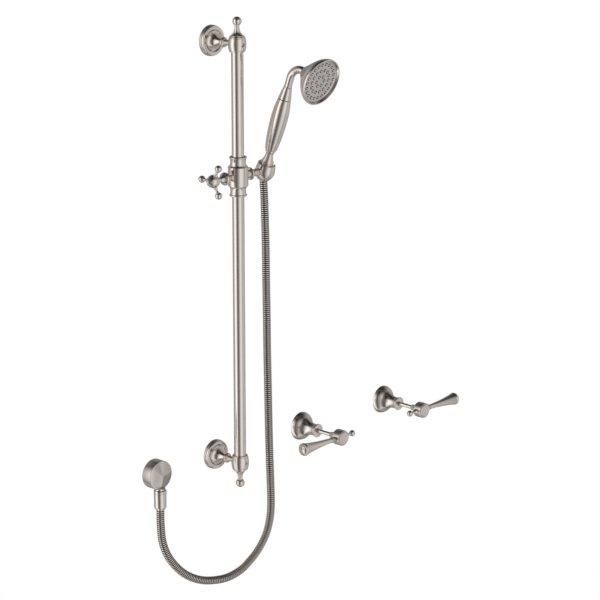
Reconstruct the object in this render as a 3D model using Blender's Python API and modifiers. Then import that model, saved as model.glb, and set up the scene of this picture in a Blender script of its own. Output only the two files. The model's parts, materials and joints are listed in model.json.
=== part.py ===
"""Rail shower set: a slide rail with a tilting handset cradle, a hand shower on a metal hose,
a wall outlet elbow and a pair of lever wall taps.

The wall is the plane Y = 0 and the room lies towards -Y. +X runs to the right along the wall and +Z up.
The origin is the centre of the upper bracket's flange on the wall. Numbers are in millimetres, and mm()
turns them into metres.
"""

import math

import bmesh
import bpy
from mathutils import Matrix, Vector

# Driving dimensions, in millimetres.
RAIL_R = 11.0
STAND_OFF = 68.1
BRACKET_SPACING = 777.3
SLIDER_Z = -237.5
HANDSET_X = 69.0
HANDSET_TILT = math.radians(19.85)
HEAD_RIM_R = 43.6
HEAD_DROP = math.radians(18.5)
HEAD_DEPTH = 46.3
HOSE_R = 7.6
ELBOW_X = -156.0
ELBOW_Z = -776.0
OUTLET_Y = -17.6
TAP_X = {"left": 234.6, "right": 472.6}
TAP_Z = -778.0
LEVER_OUT = 104.0  # from the wall to the levers' axis
GAP = 0.3

RAIL_AXIS = Vector((0, -STAND_OFF, 0))
LOWER_Z = -BRACKET_SPACING
OUT = Vector((0, -1, 0))
UP = Vector((0, 0, 1))
RIGHT = Vector((1, 0, 0))
HANDSET_UP = Vector((0, -math.sin(HANDSET_TILT), math.cos(HANDSET_TILT)))
FACE_OUT = Vector((0, -math.cos(HEAD_DROP), -math.sin(HEAD_DROP)))
TILT_POINT = Vector((HANDSET_X, -STAND_OFF, SLIDER_Z))
HEAD_CENTRE = Vector((HANDSET_X, -208.3, -60.5))

NECK_R = 7.0
NECK_START = 170.8  # up the handset's axis from the tilt axis
NECK_BEND_R = 24.0
NOZZLE_RINGS = ((32.6, 22), (21.0, 14), (9.4, 6))
CLAMP_OUT = 62.8  # from the rail's axis to the knob's spokes

# The hose hangs from the cradle, swings round in one loop and rises into the elbow's nut.
HOSE_ROUTE = (
    (69, -63.7, -248.6), (69.4, -63.8, -262), (70.3, -64.5, -285), (71.4, -65.2, -330), (72.3, -66, -390),
    (73, -66, -450), (73.7, -66.5, -515), (74.5, -66.5, -580), (75.6, -67, -650), (77, -67, -715),
    (78.5, -67.5, -780), (80.5, -68, -840), (81.5, -68, -885), (78, -67.5, -914), (69, -65.5, -942),
    (53, -62, -967), (33, -58, -986), (12, -53.5, -1000), (-20, -46.5, -1008), (-60, -38, -1003.5),
    (-92, -31, -990), (-118, -25.5, -969), (-140, -20.5, -939), (-152, -18, -907), (-155.7, -17.6, -872),
    (-156, -17.6, -841.9),
)
HOSE_POINTS = 36

MATERIALS = {
    "nickel": ((0.60, 0.56, 0.53), 0.30, 1.0),
    "hose_steel": ((0.56, 0.53, 0.50), 0.32, 1.0),
    "brass": ((0.72, 0.56, 0.27), 0.40, 1.0),
    "steel": ((0.55, 0.56, 0.57), 0.35, 1.0),
    "nylon": ((0.85, 0.84, 0.80), 0.55, 0.0),
    "rubber": ((0.05, 0.05, 0.05), 0.70, 0.0),
    "silicone": ((0.62, 0.64, 0.66), 0.45, 0.0),
}


def mm(value):
    """Millimetres to metres, for a number or a vector."""
    return value * 0.001 if isinstance(value, (int, float)) else Vector(value) * 0.001


def clear_scene():
    for obj in list(bpy.data.objects):
        bpy.data.objects.remove(obj, do_unlink=True)


def make_collection(name, hidden=False):
    collection = bpy.data.collections.new(name)
    bpy.context.scene.collection.children.link(collection)
    collection.hide_render = hidden
    return collection


def make_material(name, colour, roughness, metallic):
    material = bpy.data.materials.new(name)
    material.use_nodes = True
    shader = material.node_tree.nodes["Principled BSDF"]
    shader.inputs["Base Color"].default_value = (*colour, 1.0)
    shader.inputs["Roughness"].default_value = roughness
    shader.inputs["Metallic"].default_value = metallic
    return material


def place(obj, at, along):
    """Puts an object's local origin at a point and its local +Z along a direction."""
    turn = Vector(along).normalized().to_track_quat("Z", "Y").to_matrix().to_4x4()
    obj.matrix_world = Matrix.Translation(mm(at)) @ turn


def spun(name, outline, at, along, steps, collection):
    """Turns an outline of (radius, height) points about the local Z axis. The outline runs down the outer
    side. One that starts and ends on the axis makes a solid body, and any other closes into a ring."""
    mesh = bpy.data.meshes.new(name)
    body = bmesh.new()
    points = [body.verts.new((mm(r), 0, mm(z))) for r, z in outline]
    for first, second in zip(points, points[1:]):
        body.edges.new((first, second))
    if outline[0][0] > 0 or outline[-1][0] > 0:
        body.edges.new((points[-1], points[0]))
    body.to_mesh(mesh)
    body.free()
    obj = bpy.data.objects.new(name, mesh)
    collection.objects.link(obj)
    screw = obj.modifiers.new("turn", "SCREW")
    screw.steps = steps
    screw.render_steps = steps
    screw.use_merge_vertices = True
    screw.merge_threshold = 0.00001
    place(obj, at, along)
    return obj


def rod(name, radius, start, end, steps, collection):
    """A plain round bar from one point to another."""
    start, end = Vector(start), Vector(end)
    length = (end - start).length
    return spun(name, ((0, length), (radius, length), (radius, 0), (0, 0)), start, end - start, steps, collection)


def block(name, size, at, along, collection):
    """A box with its centre at a point and its local +Z along a direction."""
    body = bmesh.new()
    bmesh.ops.create_cube(body, size=1.0)
    bmesh.ops.scale(body, vec=mm(size), verts=body.verts)
    mesh = bpy.data.meshes.new(name)
    body.to_mesh(mesh)
    body.free()
    obj = bpy.data.objects.new(name, mesh)
    collection.objects.link(obj)
    place(obj, at, along)
    return obj


def rods(name, radius, spans, sides, collection):
    """Many plain bars in one object, for one cut or one join."""
    body = bmesh.new()
    for start, end in spans:
        start, end = Vector(start), Vector(end)
        turn = (end - start).to_track_quat("Z", "Y").to_matrix().to_4x4()
        bmesh.ops.create_cone(
            body, cap_ends=True, segments=sides, radius1=mm(radius), radius2=mm(radius),
            depth=mm((end - start).length), matrix=Matrix.Translation(mm((start + end) / 2)) @ turn)
    mesh = bpy.data.meshes.new(name)
    body.to_mesh(mesh)
    body.free()
    obj = bpy.data.objects.new(name, mesh)
    collection.objects.link(obj)
    return obj


def ball(centre, radius, top, bottom, count):
    """Points of an outline down a ball on the axis, between two angles in degrees above its equator."""
    angles = [math.radians(top + (bottom - top) * k / (count - 1)) for k in range(count)]
    return [(max(0.0, radius * math.cos(a)), centre + radius * math.sin(a)) for a in angles]


def ring(outer, inner, low, high):
    return ((outer, high), (outer, low), (inner, low), (inner, high))


def smooth_points(route, count):
    """Reads evenly spaced points from a smooth curve through a route."""
    knots = [Vector(p) for p in route]
    knots = [2 * knots[0] - knots[1], *knots, 2 * knots[-1] - knots[-2]]
    fine = []
    for a, b, c, d in zip(knots, knots[1:], knots[2:], knots[3:]):
        for k in range(12):
            t = k / 12
            cubic = -a + 3 * b - 3 * c + d
            square = 2 * a - 5 * b + 4 * c - d
            fine.append(0.5 * (2 * b + (c - a) * t + square * t * t + cubic * t * t * t))
    fine.append(knots[-2])
    travelled = [0.0]
    for first, second in zip(fine, fine[1:]):
        travelled.append(travelled[-1] + (second - first).length)
    chosen, i = [], 0
    for k in range(count):
        target = travelled[-1] * k / (count - 1)
        while i < len(fine) - 2 and travelled[i + 1] < target:
            i += 1
        share = (target - travelled[i]) / (travelled[i + 1] - travelled[i])
        chosen.append(fine[i].lerp(fine[i + 1], share))
    return chosen


def tube(name, points, radius, sides, collection):
    """A filled tube along a line of points."""
    curve = bpy.data.curves.new(name, "CURVE")
    curve.dimensions = "3D"
    curve.bevel_depth = mm(radius)
    curve.bevel_resolution = sides
    curve.use_fill_caps = True
    spline = curve.splines.new("POLY")
    spline.points.add(len(points) - 1)
    for knot, point in zip(spline.points, points):
        knot.co = (*mm(point), 1.0)
    obj = bpy.data.objects.new(name, curve)
    collection.objects.link(obj)
    return obj


def combine(obj, other, operation):
    change = obj.modifiers.new(operation.lower(), "BOOLEAN")
    change.operation = operation
    change.solver = "EXACT"
    change.object = other
    other.display_type = "WIRE"
    other.hide_render = True


class Model:
    """The collections and materials, and the one place where a piece is finished."""

    def __init__(self):
        self.parts = make_collection("rail_shower_set")
        self.cutters = make_collection("cutters", hidden=True)
        self.materials = {name: make_material(name, *look) for name, look in MATERIALS.items()}

    def finish(self, obj, material, carrier=None):
        obj.data.materials.append(self.materials[material])
        if carrier:
            obj.parent = carrier
            obj.matrix_parent_inverse = Matrix.Translation(carrier.location).inverted()
        if obj.type == "MESH":
            obj.data.shade_smooth()
            for modifier in obj.modifiers:
                if modifier.type == "SCREW":
                    modifier.use_smooth_shade = True
        return obj

    def turned(self, name, outline, at, along, material, steps=12, carrier=None):
        return self.finish(spun(name, outline, at, along, steps, self.parts), material, carrier)

    def cut_rod(self, obj, radius, start, end, steps=12):
        name = f"{obj.name}_hole_{len(obj.modifiers)}"
        combine(obj, rod(name, radius, start, end, steps, self.cutters), "DIFFERENCE")

    def add_rod(self, obj, radius, start, end, steps=12):
        name = f"{obj.name}_boss_{len(obj.modifiers)}"
        combine(obj, rod(name, radius, start, end, steps, self.cutters), "UNION")

    def pivot(self, name, at):
        """An empty on a joint's axis, which carries the pieces that move about it."""
        empty = bpy.data.objects.new(name, None)
        empty.empty_display_size = 0.02
        empty.location = mm(at)
        self.parts.objects.link(empty)
        return empty


def build_bracket(model, end, height, sign):
    """One wall bracket: barrel, trumpet post, stepped flange, wall plate, screws, finial and grub screw."""
    centre = RAIL_AXIS + UP * height
    outward = UP * sign
    wall = UP * height
    barrel = model.turned(
        f"{end}_bracket",
        ((14.2, 13.5), (14.2, 11.8), (15.6, 8), (16.2, 0), (15.6, -8), (14.2, -11.8), (14.2, -13.5),
         (11.35, -13.5), (11.35, 9), (3.4, 9), (3.4, 13.5)),
        centre, outward, "nickel", 14)
    model.cut_rod(barrel, 4.2, wall + OUT * 49, wall + OUT * 55)
    model.cut_rod(barrel, 2.7, centre + OUT * 10, centre + OUT * 18, 8)
    model.turned(
        f"{end}_post",
        ((0, 54.6), (3.8, 54.6), (3.8, 51.8), (4.8, 51.4), (4.8, 39), (7.6, 37.8), (9.2, 35), (7.6, 32.2),
         (5.5, 31), (5.7, 26), (6.8, 20.5), (9, 15.4), (12, 11.8), (15.4, 9.7), (18, 8.9), (18, 8.3),
         (3.4, 8.3), (3.4, 22), (0, 22)),
        wall, OUT, "nickel")
    model.turned(
        f"{end}_flange",
        ((3.5, 8), (18.6, 8), (20, 9.8), (21.2, 10.4), (25.8, 10.4), (27, 9.4), (27, 5.4), (28, 5),
         (28, 0), (25.4, 0), (25.4, 3), (20, 6), (3.5, 6)),
        wall, OUT, "nickel", 14)
    plate = model.turned(
        f"{end}_wall_plate",
        ((0, 21.6), (3, 21.6), (3, 4.4), (19.6, 4.4), (20.6, 3.4), (20.6, 0), (0, 0)), wall, OUT, "steel", 14)
    for side, rise in (("top", 13), ("bottom", -13)):
        at = wall + UP * rise
        model.cut_rod(plate, 2.4, at - OUT, at + OUT * 6, 8)
        model.turned(f"{end}_{side}_screw", ((0, 5.5), (3.4, 5.5), (3.4, 4.7), (2.1, 4.7), (2.1, -12), (0, -15.5)),
                     at, OUT, "steel", 8)
    model.turned(
        f"{end}_finial",
        (*ball(40.8, 8.2, 90, -55, 8), (4.2, 32), (4.7, 27.5), (6.6, 22), (9.8, 17.6), (11.8, 15.4),
         (11.8, 13.8), (3, 13.8), (3, 9.8), (0, 9.8)),
        centre, outward, "nickel")
    model.turned(
        f"{end}_grub_screw", ((0, 15.9), (2.3, 15.9), (2.3, 11.6), (0, 11.6)), centre, OUT, "steel", 8)


def build_rail(model):
    wall = 1.2
    model.turned(
        "rail_tube",
        ring(RAIL_R, RAIL_R - wall, LOWER_Z - 8.6, 8.6),
        RAIL_AXIS, UP, "nickel", 14)
    build_bracket(model, "upper", 0, 1)
    build_bracket(model, "lower", LOWER_Z, -1)


def build_slider(model, carrier):
    """The sleeve that runs on the rail: an inner liner and a turned body with a boss on either side."""
    centre = RAIL_AXIS + UP * SLIDER_Z
    model.turned("slider_liner", ring(12.6, 11.4, -34, 34), centre, UP, "nylon", 14,
                 model.pivot("slider_travel", centre))
    half = ((14.8, 36), (16, 35), (16, 33.4), (14.7, 31.6), (14.2, 27), (14.8, 22.4), (16.3, 18.8), (18.4, 17))
    body = model.turned(
        "slider_body",
        (*half, *[(r, -z) for r, z in reversed(half)], (12.95, -36), (12.95, 36)),
        centre, UP, "nickel", 14, carrier)
    boss = ((0, 30.5), (10.9, 30.5), (10.9, 29.4), (8.8, 25.4), (7.4, 21.6), (7.2, 19), (7.2, 13.6), (0, 13.6))
    combine(body, spun("slider_body_knob_boss", boss, centre, -RIGHT, 12, model.cutters), "UNION")
    model.add_rod(body, 8, centre + RIGHT * 13.6, centre + RIGHT * 27.7)
    model.cut_rod(body, 3.6, centre - RIGHT * 11, centre - RIGHT * 32)
    model.cut_rod(body, 4.3, centre + RIGHT * 11, centre + RIGHT * 29)


def build_clamp(model, pad_carrier, knob_carrier):
    """The clamp: a nylon pad, a screw spindle, and a three-spoke handle of hub, skirt and ball spokes."""
    centre = RAIL_AXIS + UP * SLIDER_Z
    left = -RIGHT
    model.turned("clamp_pad", ((0, 16), (3.2, 16), (3.2, 12.95), (0, 12.95)), centre, left, "nylon", 8, pad_carrier)
    model.turned("clamp_spindle", ((0, 60), (3, 60), (3, 16.3), (0, 16.3)), centre, left, "brass", 8, knob_carrier)
    model.turned(
        "knob_skirt",
        ((4.3, 50), (4.1, 46.5), (5.2, 43), (7.6, 39.5), (10.4, 36.2), (11.8, 33.8), (11.6, 32), (10.2, 31),
         (3.3, 31), (3.3, 50)),
        centre, left, "nickel", 12, knob_carrier)
    hub = model.turned(
        "knob_hub",
        ((0, 77), (2.6, 76.1), (5.8, 73.6), (9, 70), (11.2, 66), (11.9, 62.4), (11.2, 58), (8.8, 53.9),
         (5.6, 51.2), (4.9, 50.3), (3.3, 50.3), (3.3, 60.3), (0, 60.3)),
        centre, left, "nickel", 14, knob_carrier)
    hub_centre = centre + left * CLAMP_OUT
    for k in range(3):
        angle = math.radians(120 * k)
        spoke = Vector((0, math.cos(angle), math.sin(angle)))
        model.cut_rod(hub, 2.4, hub_centre + spoke * 8, hub_centre + spoke * 14, 8)
        model.turned(
            f"knob_spoke_{k + 1}",
            (*ball(28, 6.5, 90, -62, 7), (2.4, 20.4), (2.7, 17), (3.9, 12.4), (2, 12.4), (2, 8.4), (0, 8.4)),
            hub_centre, spoke, "nickel", 8, knob_carrier)


def build_cradle(model, slider, cradle):
    """The arm on the slider and the cup that tilts on its end."""
    centre = RAIL_AXIS + UP * SLIDER_Z
    model.turned(
        "holder_arm",
        ((0, 38), (2.5, 38), (2.5, 47.9), (6.6, 47.9), (7.1, 45.5), (6.9, 43), (6.7, 40.5), (7, 37.5),
         (8.4, 34), (10.9, 31), (11.7, 29), (11.3, 28), (4, 28), (4, 15), (0, 15)),
        centre, RIGHT, "nickel", 12, slider)
    model.turned("cradle_washer", ring(6.6, 2.6, 48.2, 49.4), centre, RIGHT, "nylon", 10, slider)
    model.turned(
        "cradle_pivot_screw",
        ((0, 56.7), (3.3, 56.7), (3.9, 56.1), (3.9, 54.9), (2.2, 54.9), (2.2, 38.4), (0, 38.4)),
        centre, RIGHT, "steel", 8, slider)
    cup = model.turned(
        "cradle_cup",
        ((15.6, 14.6), (16.5, 13.6), (17.4, 8), (18.2, 1), (17.7, -5), (15.4, -10.6), (12.2, -15.4),
         (10.1, -16.6), (10.1, -8), (12.6, 6), (12.6, 14.6)),
        TILT_POINT, HANDSET_UP, "nickel", 14, cradle)
    model.add_rod(cup, 7.2, centre + RIGHT * 49.7, centre + RIGHT * 53.6, 12)
    model.cut_rod(cup, 2.6, centre + RIGHT * 48, centre + RIGHT * 60, 8)
    model.cut_rod(cup, 4.4, centre + RIGHT * 54.6, centre + RIGHT * 62, 8)
    slot = block("cradle_cup_slot", (30, 17, 50), TILT_POINT + RIGHT * 15, HANDSET_UP, model.cutters)
    combine(cup, slot, "DIFFERENCE")


def neck_line():
    """The neck's centreline: up the handset's axis, round one bend and down to the head's back."""
    start = TILT_POINT + HANDSET_UP * NECK_START
    end = HEAD_CENTRE - FACE_OUT * (HEAD_DEPTH + GAP)
    turn = math.acos(HANDSET_UP.dot(FACE_OUT))
    side = (FACE_OUT - HANDSET_UP * HANDSET_UP.dot(FACE_OUT)).normalized()
    corner = HANDSET_UP * math.tan(turn / 2) * NECK_BEND_R
    offset = end - start
    across = offset.dot(side) / math.sin(turn)
    straight = offset.dot(HANDSET_UP) - across * math.cos(turn)
    bend_start = start + HANDSET_UP * straight - corner
    centre = bend_start + side * NECK_BEND_R
    steps = 8
    bend = [
        centre - side * (NECK_BEND_R * math.cos(turn * k / steps))
        + HANDSET_UP * (NECK_BEND_R * math.sin(turn * k / steps))
        for k in range(steps + 1)
    ]
    return [start, *bend, end]


def build_handset(model, carrier):
    """The hand shower, from its inlet collar up to the head."""
    def turned(name, outline, material, steps=12):
        model.turned(name, outline, TILT_POINT, HANDSET_UP, material, steps, carrier)

    turned("hose_cone_nut",
           ((6.9, 36), (6.9, 33.4), (7.4, 30), (8.6, 25.6), (10.3, 21.2), (11.6, 18.8), (11.6, 17.8),
            (11.9, 16.8), (11.9, 6), (9.6, -8), (5.3, -8), (5.3, 36)), "nickel", 14)
    turned("inlet_washer", ring(5, 3, 22.4, 24.4), "rubber", 8)
    turned("handset_inlet",
           ((5.9, 50), (5.9, 43), (8.9, 43), (8.9, 38.4), (7.4, 36.4), (4.9, 36.4), (4.9, 24.8),
            (3, 24.8), (3, 50)), "nickel")
    turned("grip",
           ((11.7, 146), (12, 143), (13.5, 134), (14.8, 123), (15.4, 108), (15.2, 92), (14.4, 76),
            (12.9, 58), (11.2, 47), (10.4, 43.4), (6.3, 43.4), (6.3, 146)), "nickel", 14)
    turned("grip_water_tube", ring(5.9, 4.3, 50.4, 145.6), "nylon", 8)
    turned("grip_ferrule",
           ((7.1, 170.4), (8.6, 164), (10.3, 155), (11.5, 148), (11.5, 146.4), (4.8, 146.4), (4.8, 170.4)),
           "nickel")
    neck = tube("neck_tube", neck_line(), NECK_R, 4, model.parts)
    model.finish(neck, "nickel", carrier)


def build_head(model, carrier):
    """The head: a bell shell that holds a seal, a silicone nozzle mat and the drilled face plate."""
    def turned(name, outline, material, steps):
        return model.turned(name, outline, HEAD_CENTRE, FACE_OUT, material, steps, carrier)

    turned("head_shell",
           ((HEAD_RIM_R - 0.8, 0.6), (HEAD_RIM_R, -0.6), (HEAD_RIM_R - 0.1, -4), (40.9, -10), (37.4, -15),
            (32.7, -20.5), (27.5, -26), (22.5, -31), (17.8, -36), (13.8, -40.6), (10.4, -44.2),
            (8, -HEAD_DEPTH), (5.2, -HEAD_DEPTH), (5.2, -42), (12, -37.5), (22, -28), (29.5, -20),
            (35.6, -12), (36.4, -9), (39.4, -9), (39.4, -3.4), (41.8, 0.6)),
           "nickel", 24)
    turned("head_seal", ring(39, 36.7, -8.7, -7.3), "rubber", 24)
    plate = turned("face_plate",
                   ((0, -4.2), (36.6, -4.2), (37.2, -3.6), (39.1, -3.6), (39.1, -7), (0, -7)), "nickel", 24)
    mat = turned("nozzle_mat", ((0, -7.3), (35.8, -7.3), (35.8, -9.2), (0, -9.2)), "silicone", 24)
    across = RIGHT.cross(FACE_OUT)
    holes, tips = [], []
    for radius, count in NOZZLE_RINGS:
        for k in range(count):
            angle = 2 * math.pi * k / count
            at = HEAD_CENTRE + (RIGHT * math.cos(angle) + across * math.sin(angle)) * radius
            holes.append((at - FACE_OUT * 9, at))
            tips.append((at - FACE_OUT * 8.4, at - FACE_OUT * 3.4))
    combine(plate, rods("face_plate_holes", 3.1, holes, 6, model.cutters), "DIFFERENCE")
    combine(mat, rods("nozzle_tips", 1.8, tips, 6, model.cutters), "UNION")


def build_elbow(model):
    """The wall outlet: a thick disc with a shallow cone face, and a threaded outlet below it."""
    at = Vector((ELBOW_X, 0, ELBOW_Z))
    outlet = Vector((ELBOW_X, OUTLET_Y, 0))
    body = model.turned(
        "elbow_body",
        ((0, 27), (26.2, 21.2), (27.2, 20.3), (27.2, 0), (10.8, 0), (10.8, 15), (0, 15)), at, OUT, "nickel", 18)
    model.add_rod(body, 9.8, outlet - UP * 800.6, outlet - UP * 804)
    model.add_rod(body, 8, outlet - UP * 800, outlet - UP * 819.1)
    model.cut_rod(body, 4, outlet + UP * (ELBOW_Z + 4), outlet - UP * 822, 8)
    model.turned("elbow_wall_spigot", ring(10.4, 7, -14, 11.6), at, OUT, "brass", 10)
    model.turned("hose_elbow_washer", ring(8, 5, -821.7, -819.4), outlet, UP, "rubber", 10)
    model.turned(
        "hose_elbow_nut",
        ((11.2, -804.3), (11.8, -805.2), (11.8, -808.8), (11.3, -809.4), (11.7, -810), (11.3, -837.6),
         (9, -841.6), (5, -841.6), (5, -822), (8.4, -822), (8.4, -804.3)),
        outlet, UP, "nickel", 14)


def build_tap(model, side, carrier):
    """One wall tap: bell flange, headgear in the wall, spindle, hub, cap, lever and finial."""
    wall = Vector((TAP_X[side], 0, TAP_Z))
    hub_centre = wall + OUT * LEVER_OUT
    lever_out = -RIGHT if side == "left" else RIGHT

    def turned(name, outline, material, steps=12, moving=True, at=wall, along=OUT):
        return model.turned(f"{side}_{name}", outline, at, along, material, steps, carrier if moving else None)

    turned("tap_flange",
           ((5, 47), (13.2, 47), (13.2, 44.6), (11.9, 42), (11.4, 36), (12, 29), (14.2, 22), (18, 16),
            (22.2, 12), (25.2, 8.4), (26.9, 4.6), (27.7, 1.8), (27.7, 0), (25.6, 0), (24.2, 4), (19, 9.4),
            (13.5, 13), (13.5, 16.6), (8.3, 21), (8.3, 44), (5, 44)), "nickel", 14, moving=False)
    turned("headgear",
           ((7.6, 43.6), (7.6, 16), (13, 16), (13, 9), (9.8, 9), (9.8, -9), (8.2, -9), (8.2, -14), (6.6, -14),
            (6.6, -6), (4.3, -6), (4.3, 43.6)), "brass", 10, moving=False)
    turned("spindle",
           ((0, 99.7), (3.8, 99.7), (3.8, -6.4), (6.2, -6.4), (6.2, -12), (0, -12)), "brass", 10)
    hub = turned("hub",
                 ((0, 111.7), (12.9, 111.7), (12.9, 113.4), (14, 113.6), (15.2, 112.2), (15.2, 97), (13.6, 94.6),
                  (9.4, 91), (6.3, 85.6), (5.4, 80), (4.2, 80), (4.2, 100), (0, 100)), "nickel", 14)
    model.cut_rod(hub, 3.3, hub_centre + lever_out * 9, hub_centre + lever_out * 18, 8)
    model.cut_rod(hub, 2.5, hub_centre - lever_out * 9, hub_centre - lever_out * 18, 8)
    turned("hub_cap", ((0, 114.8), (11.8, 114.7), (12.6, 114), (12.6, 112), (0, 112)), "nickel", 14)
    turned("lever",
           ((0, 107.4), (5, 106.9), (9.4, 105.2), (11.4, 103), (12.2, 101), (12.2, 99), (11, 95.4), (9.2, 84),
            (7.2, 68), (5.8, 50), (4.9, 34), (4.7, 24.4), (5.7, 23.4), (5.7, 20), (4.8, 19), (4.8, 15.8),
            (3, 15.8), (3, 9.4), (0, 9.4)), "nickel", 12, at=hub_centre, along=lever_out)
    turned("finial",
           (*ball(34, 6.1, 90, -66, 7), (2.5, 25.4), (4, 19.4), (5.3, 16.8), (5.3, 15.8), (2.2, 15.8),
            (2.2, 9.6), (0, 9.6)), "nickel", 10, at=hub_centre, along=-lever_out)


def main():
    clear_scene()
    model = Model()
    slider_centre = RAIL_AXIS + UP * SLIDER_Z
    slider = model.pivot("slider_swivel", slider_centre)
    pad = model.pivot("clamp_travel", slider_centre - RIGHT * 14)
    knob = model.pivot("clamp_turn", slider_centre - RIGHT * CLAMP_OUT)
    cradle = model.pivot("cradle_tilt", TILT_POINT)
    handset = model.pivot("handset_lift", TILT_POINT)
    build_rail(model)
    build_slider(model, slider)
    build_clamp(model, pad, knob)
    build_cradle(model, slider, cradle)
    build_handset(model, handset)
    build_head(model, handset)
    build_elbow(model)
    hose = tube("hose", smooth_points(HOSE_ROUTE, HOSE_POINTS), HOSE_R, 2, model.parts)
    model.finish(hose, "hose_steel")
    for side in TAP_X:
        build_tap(model, side, model.pivot(f"{side}_lever_turn", (TAP_X[side], -LEVER_OUT, TAP_Z)))


main()
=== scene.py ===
"""The looks of the rail shower set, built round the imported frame.

Brushed nickel pieces are turned from finer profiles than the frame's own, the hose is ribbed metal, and the shower
face has its holes and nozzles. Numbers are millimetres unless a name says otherwise. The wall is Y = 0, the room is
towards -Y, +X runs to the right and +Z up, from the centre of the upper bracket.
"""

import json
import math

import bmesh
import bpy
from mathutils import Matrix, Vector

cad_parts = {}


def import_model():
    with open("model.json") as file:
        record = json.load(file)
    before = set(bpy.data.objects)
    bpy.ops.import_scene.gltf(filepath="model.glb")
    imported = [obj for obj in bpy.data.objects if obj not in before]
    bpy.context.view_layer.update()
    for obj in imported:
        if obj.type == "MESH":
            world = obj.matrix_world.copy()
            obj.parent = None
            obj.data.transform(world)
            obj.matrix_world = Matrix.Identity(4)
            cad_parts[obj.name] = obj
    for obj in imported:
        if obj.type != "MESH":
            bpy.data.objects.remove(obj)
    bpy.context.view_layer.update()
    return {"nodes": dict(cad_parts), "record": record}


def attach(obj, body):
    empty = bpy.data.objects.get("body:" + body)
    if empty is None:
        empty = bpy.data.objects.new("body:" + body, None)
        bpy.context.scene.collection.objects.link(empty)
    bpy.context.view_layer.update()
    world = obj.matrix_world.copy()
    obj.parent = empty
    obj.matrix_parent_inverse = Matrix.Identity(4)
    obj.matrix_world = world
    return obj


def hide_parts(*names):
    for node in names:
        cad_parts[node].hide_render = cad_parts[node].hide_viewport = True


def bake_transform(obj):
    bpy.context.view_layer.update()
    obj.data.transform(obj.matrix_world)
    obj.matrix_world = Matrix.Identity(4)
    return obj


# The frame's driving dimensions.
RAIL_R = 11.0
STAND_OFF = 68.1
BRACKET_SPACING = 777.3
SLIDER_Z = -237.5
HANDSET_X = 69.0
HANDSET_TILT = math.radians(19.85)
HEAD_DROP = math.radians(18.5)
HEAD_DEPTH = 46.3
HOSE_R = 7.6
ELBOW_X = -156.0
ELBOW_Z = -776.0
OUTLET_Y = -17.6
TAP_X = {"left": 234.6, "right": 472.6}
TAP_Z = -778.0
LEVER_OUT = 104.0
GAP = 0.3
CLAMP_OUT = 62.8
NECK_R = 7.0
NECK_START = 170.8
NECK_BEND_R = 24.0
NOZZLE_RINGS = ((32.6, 22), (21.0, 14), (9.4, 6))

RAIL_AXIS = Vector((0, -STAND_OFF, 0))
LOWER_Z = -BRACKET_SPACING
OUT = Vector((0, -1, 0))
UP = Vector((0, 0, 1))
RIGHT = Vector((1, 0, 0))
HANDSET_UP = Vector((0, -math.sin(HANDSET_TILT), math.cos(HANDSET_TILT)))
FACE_OUT = Vector((0, -math.cos(HEAD_DROP), -math.sin(HEAD_DROP)))
TILT_POINT = Vector((HANDSET_X, -STAND_OFF, SLIDER_Z))
HEAD_CENTRE = Vector((HANDSET_X, -208.3, -60.5))
SLIDER_CENTRE = RAIL_AXIS + UP * SLIDER_Z

# The hose's route, as the frame's solid has it.
HOSE_ROUTE = (
    (69, -63.7, -248.6), (69.4, -63.8, -262), (70.3, -64.5, -285), (71.4, -65.2, -330), (72.3, -66, -390),
    (73, -66, -450), (73.7, -66.5, -515), (74.5, -66.5, -580), (75.6, -67, -650), (77, -67, -715),
    (78.5, -67.5, -780), (80.5, -68, -840), (81.5, -68, -885), (78, -67.5, -914), (69, -65.5, -942),
    (53, -62, -967), (33, -58, -986), (12, -53.5, -1000), (-20, -46.5, -1008), (-60, -38, -1003.5),
    (-92, -31, -990), (-118, -25.5, -969), (-140, -20.5, -939), (-152, -18, -907), (-155.7, -17.6, -872),
    (-156, -17.6, -841.9),
)
RIB_PITCH = 3.9
RIB_DEPTH = 1.5
RIB_POINTS = 8  # along the hose for each rib
SHADE_DEPTH_SHARE = 0.2  # of a rib's depth: deeper than this, a face gets the near-black metal, painted shade in the groove
HOSE_SIDES = 28
# Heights where the hose changes from one stretch to the next, below the slider.
HOSE_CUTS = (-318.0, -390.0, -520.0)

NICKEL = (0.80, 0.725, 0.668)
# The nickel at the peak of the outlet face's painted highlight wedges.
BRIGHT_NICKEL = (0.92, 0.84, 0.775)
STEPS = 72  # round a turned piece, where it doesn't say otherwise
# Painted highlight and shade on the outlet's face: how bright its colour is made round its middle, as shares of a
# turn.
PAINTED_WEDGE_LIGHT = ((0.0, 0.96), (0.10, 1.0), (0.244, 1.0), (0.256, 0.46), (0.40, 0.44), (0.49, 0.50), (0.52, 0.74),
          (0.68, 0.74), (0.73, 0.97), (0.76, 0.84), (0.80, 0.66), (0.86, 0.68), (0.90, 0.90), (1.0, 0.96))


def mm(value):
    """Millimetres to metres, for a number or a vector."""
    return value * 0.001 if isinstance(value, (int, float)) else Vector(value) * 0.001


# ---------------------------------------------------------------------------------------------- materials


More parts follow.
